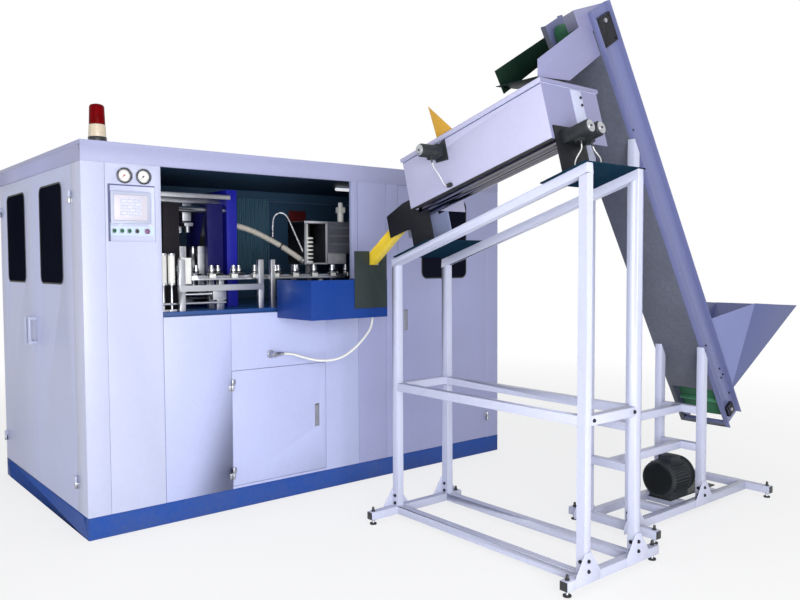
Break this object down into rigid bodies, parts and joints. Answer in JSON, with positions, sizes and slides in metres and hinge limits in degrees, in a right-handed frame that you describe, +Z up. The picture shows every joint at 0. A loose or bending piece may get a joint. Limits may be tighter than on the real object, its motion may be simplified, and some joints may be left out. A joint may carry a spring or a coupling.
{
  "type": "stretch blow moulding machine",
  "caption": "Enclosed stretch blow moulding machine with clamp, oven and preform chain, fed by a roller bin feeder and an inclined belt elevator.",
  "frame": {"origin": "centre of the cabinet's base frame footprint, on the floor", "axes": "+Z up; +X to the right along the cabinet's front; +Y from the front into the cabinet, the feeder stands on the -Y side"},
  "size_m": [4.0983, 3.983, 2.875],
  "materials": {
    "cabinet_paint": "satin",
    "light_paint": "satin",
    "plinth_blue": "satin",
    "trough_blue": "satin",
    "column_blue": "gloss",
    "tube_paint": "satin",
    "chute_yellow": "satin",
    "dark_green_paint": "satin",
    "black_paint": "matte",
    "motor_paint": "satin",
    "hopper_paint": "satin",
    "window_tint": "tinted",
    "steel": "brushed",
    "roller_chrome": "polished",
    "mould_aluminium": "machined",
    "black_plastic": "matte",
    "screen_plastic": "gloss",
    "beacon_red": "translucent",
    "beacon_grey": "matte",
    "button_green": "gloss",
    "button_black": "gloss",
    "button_red": "gloss",
    "white_plastic": "matte",
    "belt_green": "matte",
    "hose_white": "matte",
    "cable_white": "matte",
    "conduit_steel": "satin"
  },
  "bodies": {
    "machine": {"base_frame": "plinth_blue", "corner_posts": "light_paint", "roof_and_headers": "light_paint", "control_panel": "light_paint", "front_panels": "cabinet_paint", "rear_panels": "cabinet_paint", "hinge_leaves": "steel", "oven_housing": "steel", "elevator_frame": "steel", "pressure_gauges": "black_plastic", "operator_screen": "screen_plastic", "beacon_base": "beacon_grey", "beacon_dome": "beacon_red", "machine_bed": "column_blue", "clamp_frame": "column_blue", "transfer_track": "mould_aluminium", "preform_carriers": "steel", "conduits": "conduit_steel", "air_fittings": "white_plastic", "infeed_trough": "trough_blue", "guard_panels": "dark_green_paint", "drain_hose": "hose_white", "feeder_stand": "tube_paint", "elevator_stand": "tube_paint", "roller_brackets": "black_paint", "preform_bin": "hopper_paint", "loading_hopper": "hopper_paint", "discharge_chute": "hopper_paint", "drive_motors": "motor_paint", "levelling_feet": "steel", "preform_chute": "chute_yellow", "bin_guard": "chute_yellow", "feeder_cables": "cable_white", "elevator_belt": "belt_green"},
    "left_front_door": {"left_front_door": "cabinet_paint", "left_front_window": "window_tint"},
    "left_rear_door": {"left_rear_door": "cabinet_paint", "left_rear_window": "window_tint"},
    "right_door": {"right_door": "cabinet_paint", "right_window": "window_tint"},
    "hatch_door": {"hatch_door": "cabinet_paint"},
    "door_lever": {"door_lever": "steel"},
    "hatch_lever": {"hatch_lever": "steel"},
    "gauge_needle_left": {"gauge_needle_left": "black_plastic"},
    "gauge_needle_right": {"gauge_needle_right": "black_plastic"},
    "button_1": {"button_1": "button_green"},
    "button_2": {"button_2": "button_green"},
    "button_3": {"button_3": "button_green"},
    "button_4": {"button_4": "button_black"},
    "button_5": {"button_5": "button_red"},
    "mould_left": {"mould_left": "mould_aluminium"},
    "mould_right": {"mould_right": "mould_aluminium"},
    "stretch_unit": {"stretch_unit": "steel"},
    "chain_wheel_left": {"chain_wheel_left": "mould_aluminium"},
    "chain_wheel_right": {"chain_wheel_right": "mould_aluminium"},
    "roller_left": {"roller_left": "roller_chrome"},
    "roller_right": {"roller_right": "roller_chrome"},
    "paddle_wheel": {"paddle_wheel": "steel"},
    "head_drum": {"head_drum": "steel"},
    "tail_drum": {"tail_drum": "steel"}
  },
  "joints": [
    {"name": "left_front_door_hinge", "type": "hinge", "parent": "machine", "child": "left_front_door", "pos_m": [-1.6345, -0.7325, 1.1], "axis": [0, 0, 1], "range_deg": [0, 110]},
    {"name": "left_rear_door_hinge", "type": "hinge", "parent": "machine", "child": "left_rear_door", "pos_m": [-1.6345, 0.8795, 1.1], "axis": [0, 0, -1], "range_deg": [0, 110]},
    {"name": "right_door_hinge", "type": "hinge", "parent": "machine", "child": "right_door", "pos_m": [1.497, -0.917, 1.1], "axis": [0, 0, 1], "range_deg": [0, 110]},
    {"name": "hatch_hinge", "type": "hinge", "parent": "machine", "child": "hatch_door", "pos_m": [-0.7465, -0.917, 0.5], "axis": [0, 0, -1], "range_deg": [0, 110]},
    {"name": "door_lever_pivot", "type": "hinge", "parent": "right_door", "child": "door_lever", "pos_m": [0.655, -0.9005, 1.174], "axis": [-1, 0, 0], "range_deg": [0, 60]},
    {"name": "hatch_lever_pivot", "type": "hinge", "parent": "hatch_door", "child": "hatch_lever", "pos_m": [-0.123, -0.9005, 0.576], "axis": [-1, 0, 0], "range_deg": [0, 60]},
    {"name": "gauge_left_pointer", "type": "hinge", "parent": "machine", "child": "gauge_needle_left", "pos_m": [-1.388, -0.9075, 2.019], "axis": [0, 1, 0], "range_deg": [0, 270]},
    {"name": "gauge_right_pointer", "type": "hinge", "parent": "machine", "child": "gauge_needle_right", "pos_m": [-1.279, -0.9075, 2.019], "axis": [0, 1, 0], "range_deg": [0, 270]},
    {"name": "button_1_press", "type": "slide", "parent": "machine", "child": "button_1", "axis": [0, 1, 0], "range_m": [0, 0.004], "stiffness_N_per_m": 400},
    {"name": "button_2_press", "type": "slide", "parent": "machine", "child": "button_2", "axis": [0, 1, 0], "range_m": [0, 0.004], "stiffness_N_per_m": 400},
    {"name": "button_3_press", "type": "slide", "parent": "machine", "child": "button_3", "axis": [0, 1, 0], "range_m": [0, 0.004], "stiffness_N_per_m": 400},
    {"name": "button_4_press", "type": "slide", "parent": "machine", "child": "button_4", "axis": [0, 1, 0], "range_m": [0, 0.004], "stiffness_N_per_m": 400},
    {"name": "button_5_press", "type": "slide", "parent": "machine", "child": "button_5", "axis": [0, 1, 0], "range_m": [0, 0.004], "stiffness_N_per_m": 400},
    {"name": "mould_left_slide", "type": "slide", "parent": "machine", "child": "mould_left", "axis": [1, 0, 0], "range_m": [0, 0.0395]},
    {"name": "mould_right_slide", "type": "slide", "parent": "machine", "child": "mould_right", "axis": [1, 0, 0], "range_m": [-0.0395, 0]},
    {"name": "stretch_slide", "type": "slide", "parent": "machine", "child": "stretch_unit", "axis": [0, 0, -1], "range_m": [0, 0.09]},
    {"name": "chain_wheel_left_spin", "type": "hinge", "parent": "machine", "child": "chain_wheel_left", "pos_m": [-0.875, -0.6575, 1.436], "axis": [0, 0, 1], "continuous": true},
    {"name": "chain_wheel_right_spin", "type": "hinge", "parent": "machine", "child": "chain_wheel_right", "pos_m": [0.175, -0.6575, 1.436], "axis": [0, 0, 1], "continuous": true},
    {"name": "roller_left_spin", "type": "hinge", "parent": "machine", "child": "roller_left", "pos_m": [0.015, -2.25046, 1.94941], "axis": [0, -0.9659, 0.2588], "continuous": true},
    {"name": "roller_right_spin", "type": "hinge", "parent": "machine", "child": "roller_right", "pos_m": [0.097, -2.25046, 1.94941], "axis": [0, -0.9659, 0.2588], "continuous": true},
    {"name": "paddle_spin", "type": "hinge", "parent": "machine", "child": "paddle_wheel", "pos_m": [-0.075, -2.08715, 2.12616], "axis": [1, 0, 0], "continuous": true},
    {"name": "head_drum_spin", "type": "hinge", "parent": "machine", "child": "head_drum", "pos_m": [0.42637, -2.6275, 2.76513], "axis": [0, 1, 0], "continuous": true},
    {"name": "tail_drum_spin", "type": "hinge", "parent": "machine", "child": "tail_drum", "pos_m": [1.79197, -2.6275, 0.57971], "axis": [0, 1, 0], "continuous": true}
  ],
  "couplings": [
    {"joint": "mould_right_slide", "follows": "mould_left_slide", "ratio": -1},
    {"joint": "chain_wheel_right_spin", "follows": "chain_wheel_left_spin", "ratio": 1},
    {"joint": "roller_right_spin", "follows": "roller_left_spin", "ratio": -1},
    {"joint": "tail_drum_spin", "follows": "head_drum_spin", "ratio": 1}
  ]
}
